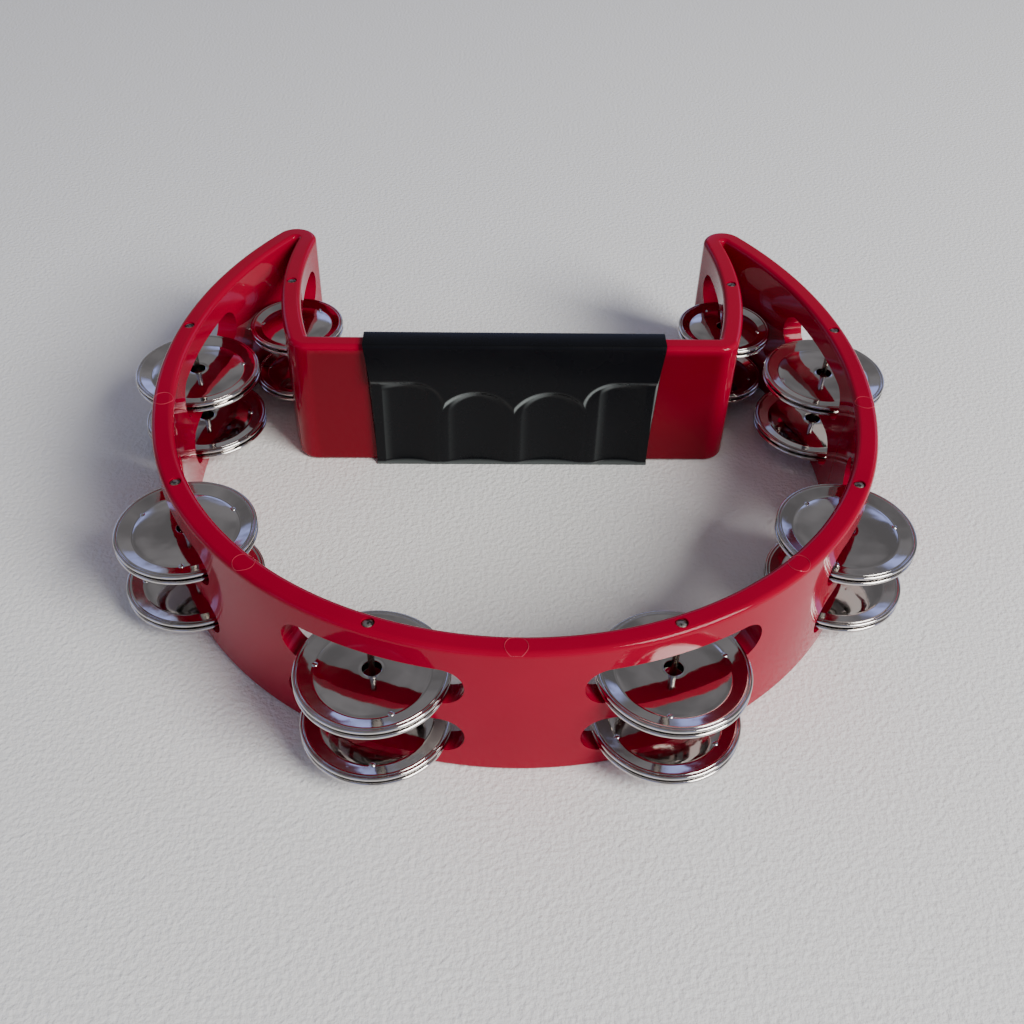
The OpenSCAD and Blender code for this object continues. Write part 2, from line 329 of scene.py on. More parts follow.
def makeSoftRubber(look):
    material, tree, place = newMaterial("mouldedGripRubber")
    grain = addNode(tree, "ShaderNodeTexNoise", values={"Scale": 1000 / look["grainSize"], "Detail": 2.0},
                    links={"Vector": place})
    rub = addNode(tree, "ShaderNodeTexNoise", values={"Scale": 1000 / look["rubSize"], "Detail": 4.0},
                  links={"Vector": place})
    sheen = addNode(tree, "ShaderNodeMapRange",
                    values={"From Min": 0.35, "From Max": 0.7, "To Min": look["roughness"],
                            "To Max": look["roughness"] + 0.14},
                    links={"Value": rub.outputs["Fac"]})
    bump = addNode(tree, "ShaderNodeBump",
                   values={"Strength": look["grainStrength"], "Distance": look["grainDeep"]},
                   links={"Height": grain.outputs["Fac"]})
    shape = addNode(tree, "ShaderNodeNewGeometry")
    # painted highlight: surfaces that face down, right and forward are mixed toward the pale grey
    facing = addNode(tree, "ShaderNodeVectorMath", {"operation": "DOT_PRODUCT"}, {1: look["highlightSide"]},
                     {0: shape.outputs["Normal"]})
    axes = addNode(tree, "ShaderNodeSeparateXYZ", links={"Vector": place})
    footHighlightHigh = look["footHighlightHigh"] * mm
    # painted highlight: the lowest band of the foot is mixed toward the pale grey
    edge = addNode(tree, "ShaderNodeMapRange",
                   values={"From Min": footHighlightHigh, "From Max": footHighlightHigh / 2, "To Max": 0.3},
                   links={"Value": axes.outputs["Z"]})
    paintedHighlight = addNode(tree, "ShaderNodeMath", {"operation": "ADD", "use_clamp": True},
                     links={0: shareOf(tree, ((facing.outputs["Value"], 0.7, 1.0),)),
                            1: edge.outputs["Result"]})
    colour = addNode(tree, "ShaderNodeMix", {"data_type": "RGBA"},
                     {"A": linearColour(look["colour"]), "B": linearColour(look["paintedHighlightColour"])},
                     {"Factor": paintedHighlight.outputs["Value"]})
    shader = addNode(tree, "ShaderNodeBsdfPrincipled",
                     values={"IOR": look["ior"], "Specular IOR Level": look["specular"]},
                     links={"Base Color": colour.outputs["Result"], "Roughness": sheen.outputs["Result"],
                            "Normal": bump.outputs["Normal"]})
    addNode(tree, "ShaderNodeOutputMaterial", links={"Surface": shader.outputs["BSDF"]})
    return material


# bright nickel plate on stamped steel: a cool grey mirror, slightly uneven where the press stretched the
# sheet, with hairlines from rubbing on its neighbour
nickelPlate = {
    "colour": "#CFCBC8",
    "roughness": 0.07,
    "hairRoughness": 0.18,
    "dentSize": 11.0,  # mm between shallow dents
    "dentStrength": 0.6,
    "dentDeep": 0.0003,  # m
    "hairSize": 0.9,  # mm, drawn coarser than real hairlines so that they show
}


def makeNickelPlate(look):
    material, tree, place = newMaterial("stampedNickelPlate")
    dent = addNode(tree, "ShaderNodeTexNoise", values={"Scale": 1000 / look["dentSize"], "Detail": 2.0},
                   links={"Vector": place})
    hair = addNode(tree, "ShaderNodeTexNoise",
                   values={"Scale": 1000 / look["hairSize"], "Detail": 4.0, "Distortion": 1.5},
                   links={"Vector": place})
    rough = addNode(tree, "ShaderNodeMapRange",
                    values={"From Min": 0.58, "From Max": 0.75, "To Min": look["roughness"],
                            "To Max": look["hairRoughness"]},
                    links={"Value": hair.outputs["Fac"]})
    bump = addNode(tree, "ShaderNodeBump",
                   values={"Strength": look["dentStrength"], "Distance": look["dentDeep"]},
                   links={"Height": dent.outputs["Fac"]})
    shader = addNode(tree, "ShaderNodeBsdfPrincipled",
                     values={"Base Color": linearColour(look["colour"]), "Metallic": 1.0},
                     links={"Roughness": rough.outputs["Result"], "Normal": bump.outputs["Normal"]})
    addNode(tree, "ShaderNodeOutputMaterial", links={"Surface": shader.outputs["BSDF"]})
    return material


# drawn steel nail wire: duller and browner than the jingles, with lengthwise draw lines
nailSteel = {
    "colour": "#A39C94",
    "roughness": 0.13,
    "headRoughness": 0.25,  # more than on the wire, where the head is upset in the die
    "headBand": 1.5,  # mm below the top where the head's look starts
    "headFade": 0.5,  # mm
    "lineSize": 0.4,  # mm across a draw line
    "lineStrength": 0.7,
    "lineDeep": 0.00025,  # m
    "blotColour": "#4A443F",
    "blotSize": 1.1,  # mm across the dark die marks on the head
}


def makeNailSteel(look):
    material, tree, place = newMaterial("drawnNailSteel")
    along = addNode(tree, "ShaderNodeMapping", values={"Scale": (1.0, 1.0, 0.04)}, links={"Vector": place})
    line = addNode(tree, "ShaderNodeTexNoise", values={"Scale": 1000 / look["lineSize"], "Detail": 3.0},
                   links={"Vector": along.outputs["Vector"]})
    rough = addNode(tree, "ShaderNodeMapRange",
                    values={"From Min": 0.3, "From Max": 0.7, "To Min": look["roughness"],
                            "To Max": look["roughness"] + 0.15},
                    links={"Value": line.outputs["Fac"]})
    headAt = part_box("pin_front_left")[1].z - look["headBand"] * mm
    headFull = headAt + look["headFade"] * mm
    axes = addNode(tree, "ShaderNodeSeparateXYZ", links={"Vector": place})
    head = addNode(tree, "ShaderNodeMapRange",
                   values={"From Min": headAt, "From Max": headFull, "To Max": look["headRoughness"]},
                   links={"Value": axes.outputs["Z"]})
    roughAll = addNode(tree, "ShaderNodeMath", {"operation": "ADD"},
                       links={0: rough.outputs["Result"], 1: head.outputs["Result"]})
    bump = addNode(tree, "ShaderNodeBump",
                   values={"Strength": look["lineStrength"], "Distance": look["lineDeep"]},
                   links={"Height": line.outputs["Fac"]})
    blot = addNode(tree, "ShaderNodeTexNoise", values={"Scale": 1000 / look["blotSize"], "Detail": 3.0},
                   links={"Vector": place})
    blotted = shareOf(tree, ((axes.outputs["Z"], headAt, headFull), (blot.outputs["Fac"], 0.42, 0.6)))
    colour = addNode(tree, "ShaderNodeMix", {"data_type": "RGBA"},
                     {"A": linearColour(look["colour"]), "B": linearColour(look["blotColour"])},
                     {"Factor": blotted})
    shader = addNode(tree, "ShaderNodeBsdfPrincipled", values={"Metallic": 1.0},
                     links={"Base Color": colour.outputs["Result"], "Roughness": roughAll.outputs["Value"],
                            "Normal": bump.outputs["Normal"]})
    addNode(tree, "ShaderNodeOutputMaterial", links={"Surface": shader.outputs["BSDF"]})
    return material


redAbs = makeGlossAbs("mouldedRedAbs", glossAbs)
ejectorGlintAbs = makeGlossAbs("ejectorPaintedGlintAbs", ejectorGlintLook)
gripRubber = makeSoftRubber(softRubber)
jingleNickel = makeNickelPlate(nickelPlate)
pinSteel = makeNailSteel(nailSteel)
print("materials ready")

frameShape = {  # mm and degrees, as in the part's source
    "frontRadius": 121.0, "frontHalf": 75.0, "sideRadius": 160.0, "sideAngle": 50.2, "tipRadius": 8.2,
    "armRadius": 152.0, "armAngle": 26.9, "cornerRadius": 7.9, "cornerAngle": 73.0,
    "wall": 7.2, "height": 52.0, "edgeRound": 1.8,
    "slotHeight": 14.4, "lowSlot": 7.3, "highSlot": 28.9, "bandSlot": 56.2, "armSlot": 52.0,
    "slotEdge": 0.55, "cutterInner": -9.5, "cutterLong": 15.0,
    "boreWide": 2.04, "recessWide": 3.8, "recessDeep": 0.9, "boreFloor": 2.4, "borePoint": 2.4,
    "notchLong": 102.8, "notchDeep": 2.0,
    "markWide": 6.5, "markHigh": 0.12, "pinSpacing": 90.0,
}

mouldNodes = ["front_band", "side_band_left", "side_band_right", "arm_left", "arm_right", "handle_bar"]
stations = ["front_left", "front_right", "side_left", "side_right", "rear_left", "rear_right",
            "arm_left", "arm_right"]


def pinPlace(name):
    low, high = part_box("pin_" + name)
    return Vector(((low.x + high.x) / 2, (low.y + high.y) / 2, 0))


def around(centre, radius, degrees):
    return Vector((centre[0] + radius * math.cos(math.radians(degrees)),
                   centre[1] + radius * math.sin(math.radians(degrees)), 0))


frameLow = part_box("front_band")[0]
# the frame's sizes in metres and its angles in degrees
f = {key: value * mm if key not in ("frontHalf", "sideAngle", "armAngle", "cornerAngle") else value
     for key, value in frameShape.items()}
frontCentre = Vector((0, frameLow.y + f["frontRadius"], 0))
sideStart = f["frontHalf"] - 90
tipStart = sideStart + f["sideAngle"]
armStart = f["cornerAngle"] - 90
armEnd = armStart + f["armAngle"]
sideCentre = around(frontCentre, f["frontRadius"] - f["sideRadius"], sideStart)
tipCentre = around(sideCentre, f["sideRadius"] - f["tipRadius"], tipStart)
armCentre = around(tipCentre, -(f["armRadius"] - f["wall"] + f["tipRadius"]), armEnd)
cornerCentre = around(armCentre, f["armRadius"] - f["cornerRadius"], armStart)
handleFront = cornerCentre.y - f["cornerRadius"]


# the way out of the wall at a station
def outward(name):
    place = pinPlace(name)
    arc = {"arm": armCentre, "rear": sideCentre}.get(name.split("_")[0], frontCentre)
    return (place - Vector((math.copysign(1, place.x) * arc.x, arc.y, 0))).normalized()


def wallSection(bm):
    w, h = f["wall"], f["height"]
    outer = frontCentre.y - f["frontRadius"]
    corners = [bm.verts.new((0, outer + y, z)) for y, z in ((0, 0), (w, 0), (w, h), (0, h))]
    face = bm.faces.new(corners)
    bmesh.ops.bevel(bm, geom=corners, offset=f["edgeRound"], offset_type="OFFSET", segments=7, profile=0.5,
                    affect="VERTICES", material=-1)
    bmesh.ops.delete(bm, geom=[face] if face.is_valid else list(bm.faces), context="FACES_ONLY")
    return list(bm.verts) + list(bm.edges)


# the section is swept along the arcs from the front to the handle, each in enough steps to look round
def makeWall():
    bm = bmesh.new()
    end = wallSection(bm)
    end = turnAbout(bm, end, frontCentre, f["frontHalf"], 75)
    end = turnAbout(bm, end, sideCentre, f["sideAngle"], 60)
    end = turnAbout(bm, end, tipCentre, 180 + armEnd - tipStart, 44)
    end = turnAbout(bm, end, armCentre, -f["armAngle"], 30)
    end = turnAbout(bm, end, cornerCentre, -f["cornerAngle"], 26)
    bar = bmesh.ops.extrude_edge_only(bm, edges=[e for e in end if isinstance(e, bmesh.types.BMEdge)])
    barVerts = [v for v in bar["geom"] if isinstance(v, bmesh.types.BMVert)]
    bmesh.ops.translate(bm, verts=barVerts, vec=(-cornerCentre.x, 0, 0))
    for v in barVerts:
        v.co.x = 0
    bmesh.ops.remove_doubles(bm, verts=bm.verts, dist=1e-6)
    bmesh.ops.mirror(bm, geom=list(bm.verts) + list(bm.edges) + list(bm.faces), axis="X", merge_dist=1e-6)
    bmesh.ops.remove_doubles(bm, verts=bm.verts, dist=1e-6)
    bmesh.ops.recalc_face_normals(bm, faces=bm.faces)
    return newObject("frameShell", bm)


# a long round-ended prism for every slot
def makeSlotCutter():
    bm = bmesh.new()
    steps = 52
    for name in stations:
        place, out = pinPlace(name), outward(name)
        length = f["armSlot"] if name.startswith("arm") else f["bandSlot"]
        straight = (length - f["slotHeight"]) / 2
        turn = Matrix((out, Vector((-out.y, out.x, 0)), Vector((0, 0, 1)))).transposed().to_4x4()
        for floor in (f["lowSlot"], f["highSlot"]):
            circle = bmesh.ops.create_circle(bm, cap_ends=True, segments=steps, radius=f["slotHeight"] / 2)
            ring = circle["verts"]
            bmesh.ops.rotate(bm, verts=ring, matrix=Matrix.Rotation(math.pi / steps, 3, "Z"))
            for v in ring:  # the circle's two halves move apart
                v.co.y += math.copysign(straight, v.co.y)
            bmesh.ops.rotate(bm, verts=ring, matrix=Matrix(((0, 0, 1), (0, 1, 0), (-1, 0, 0))))
            bmesh.ops.translate(bm, verts=ring, vec=(f["cutterInner"], 0, floor + f["slotHeight"] / 2))
            face = ring[0].link_faces[0]
            grown = bmesh.ops.extrude_face_region(bm, geom=[face])["geom"]
            grownVerts = [v for v in grown if isinstance(v, bmesh.types.BMVert)]
            bmesh.ops.translate(bm, verts=grownVerts, vec=(f["cutterLong"], 0, 0))
            bmesh.ops.transform(bm, verts=ring + grownVerts, matrix=Matrix.Translation(place) @ turn)
    bmesh.ops.recalc_face_normals(bm, faces=bm.faces)
    return newObject("slotCutter", bm)


def vertsSince(bm, before):
    return [v for v in bm.verts if v not in before]


# a bore with its head recess for every pin
def makeBoreCutter():
    bm = bmesh.new()
    top = f["height"]
    bore, recess, ledge = f["boreWide"] / 2, f["recessWide"] / 2, top - f["recessDeep"]
    outline = [(0, f["boreFloor"]), (bore, f["boreFloor"] + f["borePoint"]), (bore, ledge),
               (recess, ledge), (recess, top + mm), (0, top + mm)]
    for name in stations:
        before = set(bm.verts)
        verts = [bm.verts.new((r, 0, z)) for r, z in outline]
        edges = [bm.edges.new(pair) for pair in zip(verts, verts[1:])]
        bmesh.ops.spin(bm, geom=verts + edges, cent=(0, 0, 0), axis=(0, 0, 1), angle=math.tau, steps=28,
                       use_merge=True, use_duplicate=False)
        bmesh.ops.remove_doubles(bm, verts=vertsSince(bm, before), dist=1e-6)
        bmesh.ops.translate(bm, verts=vertsSince(bm, before), vec=pinPlace(name))
    bmesh.ops.recalc_face_normals(bm, faces=bm.faces)
    return newObject("boreCutter", bm)


def makeNotchCutter():
    bm = bmesh.new()
    bmesh.ops.create_cube(bm, size=1.0)
    bmesh.ops.scale(bm, verts=bm.verts, vec=(f["notchLong"], f["wall"] + 4 * mm, 2 * f["notchDeep"]))
    bmesh.ops.translate(bm, verts=bm.verts, vec=(0, handleFront + f["wall"] / 2, 0))
    return newObject("notchCutter", bm)


frameShell = makeWall()
cutWith(frameShell, makeSlotCutter())
cutWith(frameShell, makeBoreCutter())
cutWith(frameShell, makeNotchCutter())
softEdge = frameShell.modifiers.new("softEdge", "BEVEL")
softEdge.limit_method = "ANGLE"
softEdge.angle_limit = math.radians(45)
softEdge.width = f["slotEdge"]
softEdge.segments = 3
softEdge.use_clamp_overlap = True
evenShade = frameShell.modifiers.new("evenShade", "WEIGHTED_NORMAL")
evenShade.keep_sharp = True
evenShade.weight = 80
applyModifiers(frameShell)
finishPiece(frameShell, redAbs, "frame", "frame", *mouldNodes)
print("frame", len(frameShell.data.polygons), "faces")


# the outline's section in mm: how far out from the mark's edge, and how high over the rim
markSection = ((-0.16, -0.1), (-0.06, frameShape["markHigh"]), (0, frameShape["markHigh"]), (0.1, -0.1))


# the thin raised outline that an ejector pin leaves on the rim, midway between the band pins
def makeMarks():
    bm = bmesh.new()
    tree = BVHTree.FromObject(frameShell, bpy.context.evaluated_depsgraph_get())
    frontLong = f["frontRadius"] * math.radians(f["frontHalf"])
    onRim = f["height"] - 1.1 * mm  # lower than this is the wall's side
    for side, step in ((1, 0), (-1, 1), (1, 1), (-1, 2), (1, 2)):
        along = f["pinSpacing"] * step
        if along < frontLong:
            place = around(frontCentre, f["frontRadius"] - f["wall"] / 2,
                           math.degrees(along / f["frontRadius"]) - 90)
        else:
            place = around(sideCentre, f["sideRadius"] - f["wall"] / 2,
                           sideStart + math.degrees((along - frontLong) / f["sideRadius"]))
        place.x *= side
        if step == 0:
            place = onSurface(tree, *imagePoints["markFront"])
            place.z = 0
        rings = []
        for wider, rise in markSection:
            ring = bmesh.ops.create_circle(bm, segments=72, radius=f["markWide"] / 2 + wider * mm)["verts"]
            for v in ring:  # the line follows the rounding of the rim and stops short of its sides
                for pull in range(12):
                    at = place + v.co * (1 - 0.05 * pull)
                    hit = tree.ray_cast(Vector((at.x, at.y, 0.1)), Vector((0, 0, -1)))[0]
                    if hit and hit.z > onRim:
                        break
                v.co = Vector((at.x, at.y, hit.z + rise * mm))
            rings.append(ring)
        for one, other in zip(rings, rings[1:]):
            edges = [e for ring in (one, other) for v in ring for e in v.link_edges
                     if all(w in set(ring) for w in e.verts)]
            bmesh.ops.bridge_loops(bm, edges=list(set(edges)))
    bmesh.ops.recalc_face_normals(bm, faces=bm.faces)
    return newObject("ejectorMarks", bm, 60)


ejectorMarks = makeMarks()
# painted highlight: the outlines get the paler red
finishPiece(ejectorMarks, ejectorGlintAbs, "frame", "frame")
print("ejector marks")

pinShape = {  # mm; collar, round and crown are the small steps that ease the head's edges
    "wide": 2.0, "headWide": 3.1, "headHigh": 0.7, "dome": 0.2, "point": 2.4,
    "collarHigh": 0.2, "collarWide": 0.1, "round": 0.12, "domeHigh": 0.08, "domeWide": 0.1, "crown": 0.03,
}


def makePin(name):
    low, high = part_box("pin_" + name)
    top = high.z
    s = {key: value * mm for key, value in pinShape.items()}
    shank, head = s["wide"] / 2, s["headWide"] / 2
    under, dome = top - s["headHigh"], top - s["dome"]
    outline = [(0, low.z), (shank, low.z + s["point"]), (shank, under - s["collarHigh"]),
               (shank + s["collarWide"], under), (head - s["round"], under), (head, under + s["round"]),
               (head, dome - s["domeHigh"]), (head - s["domeWide"], dome), (head / 2, top - s["crown"]),
               (0, top)]
    bm = bmesh.new()
    verts = [bm.verts.new((r, 0, z)) for r, z in outline]
    edges = [bm.edges.new(pair) for pair in zip(verts, verts[1:])]
    bmesh.ops.spin(bm, geom=verts + edges, cent=(0, 0, 0), axis=(0, 0, 1), angle=math.tau, steps=40,
                   use_merge=True, use_duplicate=False)
    bmesh.ops.remove_doubles(bm, verts=bm.verts, dist=1e-6)
    bmesh.ops.recalc_face_normals(bm, faces=bm.faces)
    bmesh.ops.translate(bm, verts=bm.verts, vec=pinPlace(name))
    return newObject("nail_" + name, bm, 35)


for name in stations:
    finishPiece(makePin(name), pinSteel, "frame", "pin", "pin_" + name)
print("pins")

jingleShape = {  # mm, for a band jingle; an arm jingle has the same press depths on a smaller disc
    "hole": 2.85, "sheet": 0.4, "dome": 1.1, "domePower": 3.0, "crease": 0.745, "bandRise": 1.2,
    "bead": 0.66, "rimRise": 0.3, "pipAt": 0.735, "pipHigh": 0.52, "pipWide": 0.95,
}
jinglePips = {  # the image point that one of a jingle's three pips is turned to
    "jingle_front_left_high_top": "pipFrontLeft",
    "jingle_front_right_high_top": "pipFrontRight",
    "jingle_side_left_high_top": "pipSideLeft",
}


# the section in mm of a jingle that lies with its crease at height 0, from the hole outward and back; the
# small numbers ease the crease, the hem and the edge of the hole
def jingleSection(radius):
    s = jingleShape
    domeSteps, bandSteps = 12, 8
    crease = radius * s["crease"]
    hem = radius - 2 * s["bead"]
    top, under = [], []
    for i in range(domeSteps + 1):
        r = s["hole"] + 0.12 + (crease - 0.2 - s["hole"] - 0.12) * i / domeSteps
        z = 0.06 + s["dome"] * (1 - (r / crease) ** s["domePower"])
        top.append((r, z + s["sheet"]))
        under.append((r, z))
    for i in range(bandSteps + 1):  # the band rises to the hem of the rolled rim
        t = i / bandSteps
        r = crease + 0.05 + (hem - 0.15 - crease) * t
        z = 0.02 + s["bandRise"] * t * (0.93 + 0.07 * t)
        top.append((r, z + s["sheet"]))
        under.append((r, z))
    hemZ = top[-1][1]
    top += [(hem + 0.02, hemZ - 0.02), (hem + 0.1, hemZ - 0.12), (hem + 0.18, hemZ - 0.1)]
    centre = (radius - s["bead"], s["bead"] + s["rimRise"])
    turn = [(centre[0] + s["bead"] * math.cos(math.radians(a)),
             centre[1] + s["bead"] * math.sin(math.radians(a))) for a in range(135, -176, -20)]
    hole, holeTop, holeUnder = s["hole"], top[0][1], under[0][1]
    edge = [(hole + 0.03, holeTop - 0.04), (hole, holeTop - 0.15), (hole, holeUnder + 0.15),
            (hole + 0.03, holeUnder + 0.04)]
    return top + turn + under[::-1] + edge[::-1]


# one disc with its crease at height 0 and three pips, the first on the x axis; every jingle is a copy of it
def makeDisc(radius):
    bm = bmesh.new()
    verts = [bm.verts.new((r * mm, 0, z * mm)) for r, z in jingleSection(radius)]
    edges = [bm.edges.new((verts[i], verts[(i + 1) % len(verts)])) for i in range(len(verts))]
    bmesh.ops.spin(bm, geom=verts + edges, cent=(0, 0, 0), axis=(0, 0, 1), angle=math.tau, steps=150,
                   use_merge=True, use_duplicate=False)
    bmesh.ops.remove_doubles(bm, verts=bm.verts, dist=1e-6)
    bmesh.ops.recalc_face_normals(bm, faces=bm.faces)
    disc = newObject("disc", bm)
    pips = bmesh.new()
    s = jingleShape
    for turn in (0, 120, 240):
        sphere = bmesh.ops.create_uvsphere(pips, u_segments=20, v_segments=12, radius=s["pipWide"] * mm)
        ball = sphere["verts"]
        bmesh.ops.scale(pips, verts=ball, vec=(1, 1, s["pipHigh"] / s["pipWide"]))
        bmesh.ops.translate(pips, verts=ball, vec=around((0, 0), s["pipAt"] * radius * mm, turn)
                            + Vector((0, 0, s["sheet"] * mm)))
    cutWith(disc, newObject("pips", pips), "UNION")
    mesh = disc.data
    bpy.data.objects.remove(disc)
    return mesh


discs = {}


def makeJingle(node, upper):
    low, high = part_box(node)
    radius = round((high.x - low.x) / 2 / mm, 1)
    if radius not in discs:
        discs[radius] = makeDisc(radius)
    bm = bmesh.new()
    bm.from_mesh(discs[radius])
    if not upper:
        bmesh.ops.scale(bm, verts=bm.verts, vec=(1, 1, -1))
        bmesh.ops.reverse_faces(bm, faces=bm.faces)
    pin = Vector(((low.x + high.x) / 2, (low.y + high.y) / 2, low.z if upper else high.z))
    bmesh.ops.translate(bm, verts=bm.verts, vec=pin)
    turn = math.radians((sum(ord(c) for c in node) * 37) % 120)  # at will, but the same in each run
    if node in jinglePips:
        pip = onSurface(BVHTree.FromBMesh(bm), *imagePoints[jinglePips[node]]) - pin
        turn = math.atan2(pip.y, pip.x)
    bmesh.ops.rotate(bm, verts=bm.verts, cent=pin, matrix=Matrix.Rotation(turn, 3, "Z"))
    return newObject("disc_" + node.replace("jingle_", ""), bm, 50)


for name in stations:
    for row in ("low", "high"):
        for layer in ("bottom", "top"):
            node = "jingle_%s_%s_%s" % (name, row, layer)
            finishPiece(makeJingle(node, layer == "top"), jingleNickel, node, "jingle", node)
for disc in discs.values():
    bpy.data.meshes.remove(disc)
print("jingles")

gripShape = {  # mm, with x from the middle and z from the base
    "front": 2.7, "back": 1.4, "high": 53.4, "halfLong": 51.3, "flare": 2.6, "flareFrom": 34.0,
    "edge": 1.8, "footEdge": 0.5, "foot": 1.3, "setBack": 1.3, "setBackFrom": 37.0,
    "step": 1.0, "lip": 2.4, "lipEnd": 0.2, "groove": 1.4, "openFrom": -2.0, "openFull": 2.4, "rib": 0.45,
    "innerX": 13.6, "innerR": 14.1, "innerTop": 32.5,
    "outerX": 26.9, "outerR": 10.0, "outerTop": 36.8,
    "innerGrooveX": 13.6, "innerGroove": 10.3, "outerGrooveX": 39.8, "outerGroove": 8.4,
}


def smooth(low, high, value):
    t = min(max((value - low) / (high - low), 0), 1)
    return t * t * (3 - 2 * t)


# how far a point of the front face lies inside the finger side's scalloped outline, in mm
def insideFingers(x, z):
    g = gripShape
    x = abs(x)
    inner = g["innerR"] - math.hypot(x - g["innerX"], max(z - (g["innerTop"] - g["innerR"]), 0))
    cx, cz = g["outerX"] + g["outerR"], g["outerTop"] - g["outerR"]
    dx, dz = cx - x, z - cz
    if dx > 0 and dz > 0:
        outer = g["outerR"] - math.hypot(dx, dz)
    else:
        outer = min(x - g["outerX"], g["outerTop"] - z)
    return max(inner, outer)


# how deep the front face lies at a point, in mm: a lean toward the top edge, a round lip under the hood, and
# four round-bottomed flutes with round ribs between them that run out toward the foot
def gripDepth(x, z):
    g = gripShape
    lean = g["setBack"] * max((z - g["setBackFrom"]) / (g["high"] - g["setBackFrom"]), 0) ** 2
    inside = insideFingers(x, z)
    if inside < g["lipEnd"] - g["lip"]:
        return lean
    over = min((inside - g["lipEnd"] + g["lip"]) / g["lip"], 1)
    depth = g["step"] * smooth(0, 1, over)
    opened = smooth(g["openFrom"], g["openFull"], inside)
    for centre, half in ((g["innerGrooveX"], g["innerGroove"]), (g["outerGrooveX"], g["outerGroove"])):
        off = abs(abs(x) - centre) / half
        if off < 1:
            depth += g["groove"] * (1 - off ** 2) * opened
    middleHalf = g["innerGrooveX"] - g["innerGroove"]
    sideMiddle = (g["innerGrooveX"] + g["innerGroove"] + g["outerGrooveX"] - g["outerGroove"]) / 2
    sideHalf = (g["outerGrooveX"] - g["outerGroove"] - g["innerGrooveX"] - g["innerGroove"]) / 2
    for centre, half in ((0, middleHalf), (sideMiddle, sideHalf)):
        off = abs(abs(x) - centre) / half
        if off < 1:
            depth -= g["rib"] * (1 - off ** 2) * opened
    return lean + depth * smooth(0, g["foot"], z)


# how much wider the grip is at a height than at its foot
def flare(z):
    g = gripShape
    return 1 + g["flare"] / g["halfLong"] * max((z - g["flareFrom"]) / (g["high"] - g["flareFrom"]), 0)


def makeGrip():
    g = {key: value * mm for key, value in gripShape.items()}
    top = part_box("grip")[1].z
    columns, frontCuts, backCuts = 288, 136, 16  # a grid fine enough to carry the flutes
    bm = bmesh.new()
    front, back = handleFront - g["front"], handleFront + f["wall"] + g["back"]
    corners = [bm.verts.new((-g["halfLong"], y, z)) for y, z in
               ((front, 0), (back, 0), (back, top), (front, top))]
    bm.faces.new(corners)
    for some, edge in ((corners[2:], g["edge"]), (corners[:2], g["footEdge"])):
        bmesh.ops.bevel(bm, geom=some, offset=edge, offset_type="OFFSET", segments=6, profile=0.5,
                        affect="VERTICES", material=-1)
    bmesh.ops.delete(bm, geom=list(bm.faces), context="FACES_ONLY")
    longFront = [e for e in bm.edges if all(abs(v.co.y - front) < 1e-6 for v in e.verts)]
    bmesh.ops.subdivide_edges(bm, edges=longFront, cuts=frontCuts)
    longBack = [e for e in bm.edges if all(abs(v.co.y - back) < 1e-6 for v in e.verts)]
    bmesh.ops.subdivide_edges(bm, edges=longBack, cuts=backCuts)
    start = ring = list(bm.edges)
    for column in range(columns):
        grown = bmesh.ops.extrude_edge_only(bm, edges=ring)["geom"]
        ringVerts = [v for v in grown if isinstance(v, bmesh.types.BMVert)]
        ring = [e for e in grown if isinstance(e, bmesh.types.BMEdge)]
        bmesh.ops.translate(bm, verts=ringVerts, vec=(2 * g["halfLong"] / columns, 0, 0))
    for v in bm.verts:
        x, z = v.co.x / mm, v.co.z / mm
        if v.co.y < handleFront - 0.1 * mm:
            share = 1 if v.co.y < front + 1e-6 else (handleFront - v.co.y) / g["front"]
            v.co.y += gripDepth(x, z) * mm * share
        v.co.x *= flare(z)
    inner = []
    for side, ends in ((-1, start), (1, ring)):
        before = set(bm.verts)
        w, h = f["wall"], f["height"]
        loop = [bm.verts.new((side * g["halfLong"], handleFront + y, z)) for y, z in
                ((0, f["notchDeep"]), (w, f["notchDeep"]), (w, h), (0, h))]
        bm.faces.new(loop)
        bmesh.ops.bevel(bm, geom=loop[2:], offset=f["edgeRound"], offset_type="OFFSET", segments=5,
                        profile=0.5, affect="VERTICES", material=-1)
        mine = set(vertsSince(bm, before))
        bmesh.ops.delete(bm, geom=[face for face in bm.faces if all(v in mine for v in face.verts)],
                         context="FACES_ONLY")
        rim = [e for e in bm.edges if all(v in mine for v in e.verts)]
        for v in mine:
            v.co.x *= flare(v.co.z / mm)
        bmesh.ops.triangle_fill(bm, use_beauty=True, edges=rim + ends)
        inner.append(rim)
    bmesh.ops.bridge_loops(bm, edges=inner[0] + inner[1])
    bmesh.ops.recalc_face_normals(bm, faces=bm.faces)
    return newObject("gripSleeve", bm, 50)


gripSleeve = makeGrip()
finishPiece(gripSleeve, gripRubber, "frame", "grip", "grip")
print("grip", len(gripSleeve.data.polygons), "faces")

floorLook = {
    "colour": "#F7F7F5",
    "size": 4.0,  # m from the middle to a side
    "grainSize": 1.7,  # mm from bump to bump
    "grainStrength": 0.6,
    "grainDeep": 0.0009,  # m
}
windowLook = {  # metres and watts; it stands to the front right, where the photo's shadows point back to
    "place": (1.52, -1.2, 1.42), "size": (1.15, 1.15), "power": 79.0, "colour": "#FFFDF8",
}
roomLook = {  # pale panes low around a grey room with soft shades, which the jingles mirror
    "wall": "#68676A", "ceiling": "#8C8B8F", "pane": "#AEBBFF", "paneStrength": 1.4, "panes": 9,
    "paneLow": 9.0, "paneHigh": 27.0,  # degrees up
}


